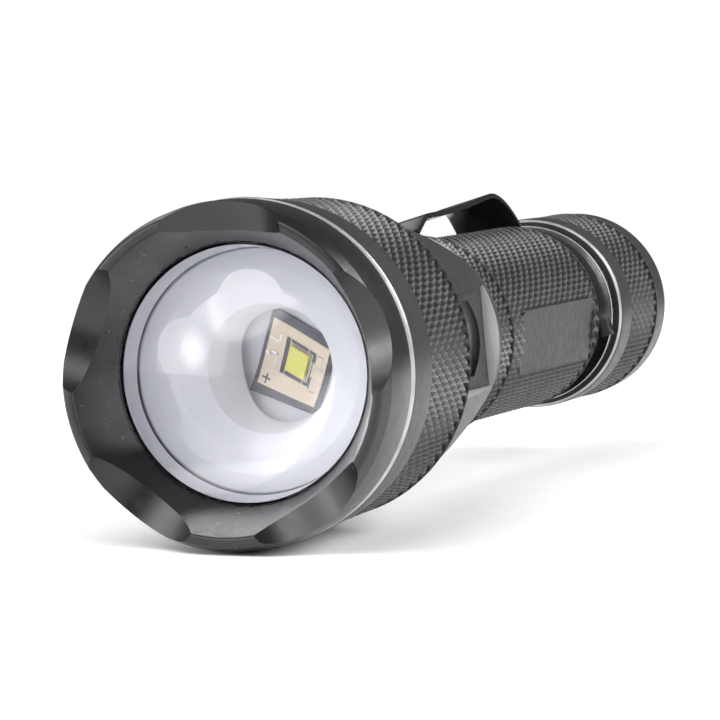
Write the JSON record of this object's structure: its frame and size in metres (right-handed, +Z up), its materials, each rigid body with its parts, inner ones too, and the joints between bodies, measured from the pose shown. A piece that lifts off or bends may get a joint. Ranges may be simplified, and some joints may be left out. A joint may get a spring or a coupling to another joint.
{
  "type": "tactical flashlight",
  "caption": "Zooming aluminium torch with a scalloped crown bezel, thick aspheric lens, windowed sliding head, knurled battery tube, pocket clip and push-button tail cap.",
  "frame": {"origin": "on the beam axis, halfway between the front lip and the tail rim, with the head at its stored place", "axes": "the beam points to -Y and the tail to +Y; +Z is up and the pocket clip sits 18 degrees to the -X side of it; +X is the side of the blank panel"},
  "size_m": [0.0418, 0.151, 0.0418],
  "materials": {
    "anodised": "dark grey hard anodising over a fine blasted surface, knurled on the grips",
    "bare_aluminium": "bare turned metal, bright",
    "black_steel": "black coating with a slight gloss on spring steel",
    "spring_steel": "bright spring wire and strip",
    "brass": "turned brass",
    "clear_acrylic": "clear polished acrylic",
    "rubber": "black, matte",
    "white_plastic": "white, satin",
    "black_plastic": "black, satin",
    "circuit_board": "green solder mask",
    "led_ceramic": "pale cream ceramic",
    "phosphor": "yellow phosphor under a clear coat",
    "cell_wrap": "blue heat-shrink sleeve over a metal can",
    "red_wire": "red insulation"
  },
  "bodies": {
    "body": {"body_tube": "anodised", "neck_tube": "bare_aluminium", "neck_stop_ring": "spring_steel", "pill": "brass", "led_board": "bare_aluminium", "led_package": "led_ceramic", "led_die": "phosphor", "led_spacer": "white_plastic", "lead_wire_black": "black_plastic", "lead_wire_red": "red_wire", "driver_board": "circuit_board", "driver_inductor": "black_plastic", "driver_spring": "spring_steel", "battery_terminal": "spring_steel", "battery_cell": "cell_wrap", "tail_o_ring": "rubber"},
    "slide_ring": {"slide_o_ring": "rubber"},
    "head": {"head_sleeve": "anodised", "bezel_ring": "anodised", "front_o_ring": "rubber", "lens": "clear_acrylic", "lens_seat_ring": "white_plastic"},
    "clip": {"pocket_clip": "black_steel"},
    "tail_screw": {"tail_spring": "spring_steel"},
    "tail_cap": {"tail_cap": "anodised", "tail_retaining_ring": "bare_aluminium", "switch_plate": "circuit_board", "switch_housing": "black_plastic", "switch_case": "white_plastic"},
    "button": {"switch_plunger": "black_plastic", "switch_boot": "rubber"}
  },
  "joints": [
    {"name": "zoom_slide", "type": "slide", "parent": "body", "child": "slide_ring", "axis": [0, -1, 0], "range_m": [-0.0015, 0.012]},
    {"name": "head_turn", "type": "hinge", "parent": "slide_ring", "child": "head", "pos_m": [0, -0.0039, 0], "axis": [0, -1, 0], "continuous": true},
    {"name": "clip_turn", "type": "hinge", "parent": "body", "child": "clip", "pos_m": [0, 0.0462, 0], "axis": [0, -1, 0], "continuous": true},
    {"name": "tail_cap_advance", "type": "slide", "parent": "body", "child": "tail_screw", "axis": [0, 1, 0], "range_m": [0, 0.0035]},
    {"name": "tail_cap_turn", "type": "hinge", "parent": "tail_screw", "child": "tail_cap", "pos_m": [0, 0.0563, 0], "axis": [0, 1, 0], "range_deg": [0, 1260]},
    {"name": "button_press", "type": "slide", "parent": "tail_cap", "child": "button", "axis": [0, -1, 0], "range_m": [0, 0.0015], "stiffness_N_per_m": 2500, "springref_m": -0.0006, "deforming": ["switch_boot"]}
  ],
  "couplings": [
    {"joint": "tail_cap_advance", "follows": "tail_cap_turn", "m_per_rad": 0.00015915}
  ]
}
